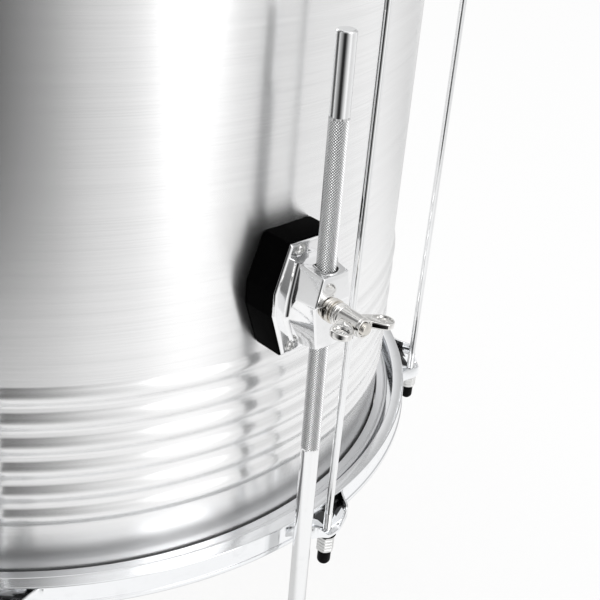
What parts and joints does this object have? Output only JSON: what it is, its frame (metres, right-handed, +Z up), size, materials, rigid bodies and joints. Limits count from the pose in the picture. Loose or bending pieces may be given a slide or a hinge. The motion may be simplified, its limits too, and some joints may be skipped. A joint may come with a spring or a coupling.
{
  "type": "surdo drum",
  "caption": "Deep samba bass drum with a beaded aluminium shell, full-length tension rods, clawed counterhoops and adjustable knurled legs clamped in cast brackets.",
  "frame": {"origin": "on the floor, under the middle of the part's bounding box; the drum's axis is vertical and stands 18 mm behind the origin, because the front bracket reaches out furthest", "axes": "+Z up along the drum's axis, -Y towards the first leg at the front, +X to the right"},
  "size_m": [0.6434, 0.6794, 0.7825],
  "materials": {
    "shell_sheet": "brushed around the drum",
    "head_film": "smooth translucent white film",
    "flesh_hoop_metal": "satin",
    "hoop_metal": "polished plating",
    "rod_metal": "polished plating",
    "nut_metal": "bright zinc plating",
    "black_rubber": "matte",
    "black_plastic": "satin",
    "bracket_chrome": "polished plating"
  },
  "bodies": {
    "drum": {"shell": "shell_sheet", "bottom_head": "head_film", "bottom_flesh_hoop": "flesh_hoop_metal", "bottom_counterhoop": "hoop_metal", "top_head": "head_film", "top_flesh_hoop": "flesh_hoop_metal", "top_counterhoop": "hoop_metal", "tension_rod_1": "rod_metal", "tension_rod_2": "rod_metal", "tension_rod_3": "rod_metal", "tension_rod_4": "rod_metal", "tension_rod_5": "rod_metal", "tension_rod_6": "rod_metal", "tension_rod_7": "rod_metal", "tension_rod_8": "rod_metal", "washer_1": "black_rubber", "washer_2": "black_rubber", "washer_3": "black_rubber", "washer_4": "black_rubber", "washer_5": "black_rubber", "washer_6": "black_rubber", "washer_7": "black_rubber", "washer_8": "black_rubber", "end_cap_1": "black_plastic", "end_cap_2": "black_plastic", "end_cap_3": "black_plastic", "end_cap_4": "black_plastic", "end_cap_5": "black_plastic", "end_cap_6": "black_plastic", "end_cap_7": "black_plastic", "end_cap_8": "black_plastic", "bracket_pad_1": "black_rubber", "bracket_pad_2": "black_rubber", "bracket_pad_3": "black_rubber", "bracket_casting_1": "bracket_chrome", "bracket_casting_2": "bracket_chrome", "bracket_casting_3": "bracket_chrome", "clamp_stud_1": "nut_metal", "clamp_stud_2": "nut_metal", "clamp_stud_3": "nut_metal"},
    "nut_body_1": {"tension_nut_1": "nut_metal"},
    "nut_body_2": {"tension_nut_2": "nut_metal"},
    "nut_body_3": {"tension_nut_3": "nut_metal"},
    "nut_body_4": {"tension_nut_4": "nut_metal"},
    "nut_body_5": {"tension_nut_5": "nut_metal"},
    "nut_body_6": {"tension_nut_6": "nut_metal"},
    "nut_body_7": {"tension_nut_7": "nut_metal"},
    "nut_body_8": {"tension_nut_8": "nut_metal"},
    "wing_body_1": {"wing_nut_1": "bracket_chrome"},
    "wing_body_2": {"wing_nut_2": "bracket_chrome"},
    "wing_body_3": {"wing_nut_3": "bracket_chrome"},
    "leg_body_1": {"leg_1": "rod_metal", "rubber_foot_1": "black_rubber"},
    "leg_body_2": {"leg_2": "rod_metal", "rubber_foot_2": "black_rubber"},
    "leg_body_3": {"leg_3": "rod_metal", "rubber_foot_3": "black_rubber"}
  },
  "joints": [
    {"name": "leg_1_height", "type": "slide", "parent": "drum", "child": "leg_body_1", "axis": [0, 0.0175, 0.9998], "range_m": [-0.09, 0.07]},
    {"name": "leg_2_height", "type": "slide", "parent": "drum", "child": "leg_body_2", "axis": [-0.0151, -0.0087, 0.9998], "range_m": [-0.09, 0.07]},
    {"name": "leg_3_height", "type": "slide", "parent": "drum", "child": "leg_body_3", "axis": [0.0151, -0.0087, 0.9998], "range_m": [-0.09, 0.07]},
    {"name": "wing_nut_1_turn", "type": "hinge", "parent": "drum", "child": "wing_body_1", "pos_m": [0, -0.31214, 0.3785], "axis": [0, -1, 0], "range_deg": [-30, 360]},
    {"name": "wing_nut_2_turn", "type": "hinge", "parent": "drum", "child": "wing_body_2", "pos_m": [0.28596, 0.18316, 0.3785], "axis": [0.866, 0.5, 0], "range_deg": [-30, 360]},
    {"name": "wing_nut_3_turn", "type": "hinge", "parent": "drum", "child": "wing_body_3", "pos_m": [-0.28596, 0.18316, 0.3785], "axis": [-0.866, 0.5, 0], "range_deg": [-30, 360]},
    {"name": "nut_1_turn", "type": "hinge", "parent": "drum", "child": "nut_body_1", "pos_m": [0.03224, -0.29388, 0.1666], "axis": [0, 0, 1], "range_deg": [-360, 180]},
    {"name": "nut_2_turn", "type": "hinge", "parent": "drum", "child": "nut_body_2", "pos_m": [0.24337, -0.17972, 0.1666], "axis": [0, 0, 1], "range_deg": [-360, 180]},
    {"name": "nut_3_turn", "type": "hinge", "parent": "drum", "child": "nut_body_3", "pos_m": [0.31194, 0.05029, 0.1666], "axis": [0, 0, 1], "range_deg": [-360, 180]},
    {"name": "nut_4_turn", "type": "hinge", "parent": "drum", "child": "nut_body_4", "pos_m": [0.19778, 0.26142, 0.1666], "axis": [0, 0, 1], "range_deg": [-360, 180]},
    {"name": "nut_5_turn", "type": "hinge", "parent": "drum", "child": "nut_body_5", "pos_m": [-0.03224, 0.33, 0.1666], "axis": [0, 0, 1], "range_deg": [-360, 180]},
    {"name": "nut_6_turn", "type": "hinge", "parent": "drum", "child": "nut_body_6", "pos_m": [-0.24337, 0.21584, 0.1666], "axis": [0, 0, 1], "range_deg": [-360, 180]},
    {"name": "nut_7_turn", "type": "hinge", "parent": "drum", "child": "nut_body_7", "pos_m": [-0.31194, -0.01418, 0.1666], "axis": [0, 0, 1], "range_deg": [-360, 180]},
    {"name": "nut_8_turn", "type": "hinge", "parent": "drum", "child": "nut_body_8", "pos_m": [-0.19778, -0.22531, 0.1666], "axis": [0, 0, 1], "range_deg": [-360, 180]}
  ]
}
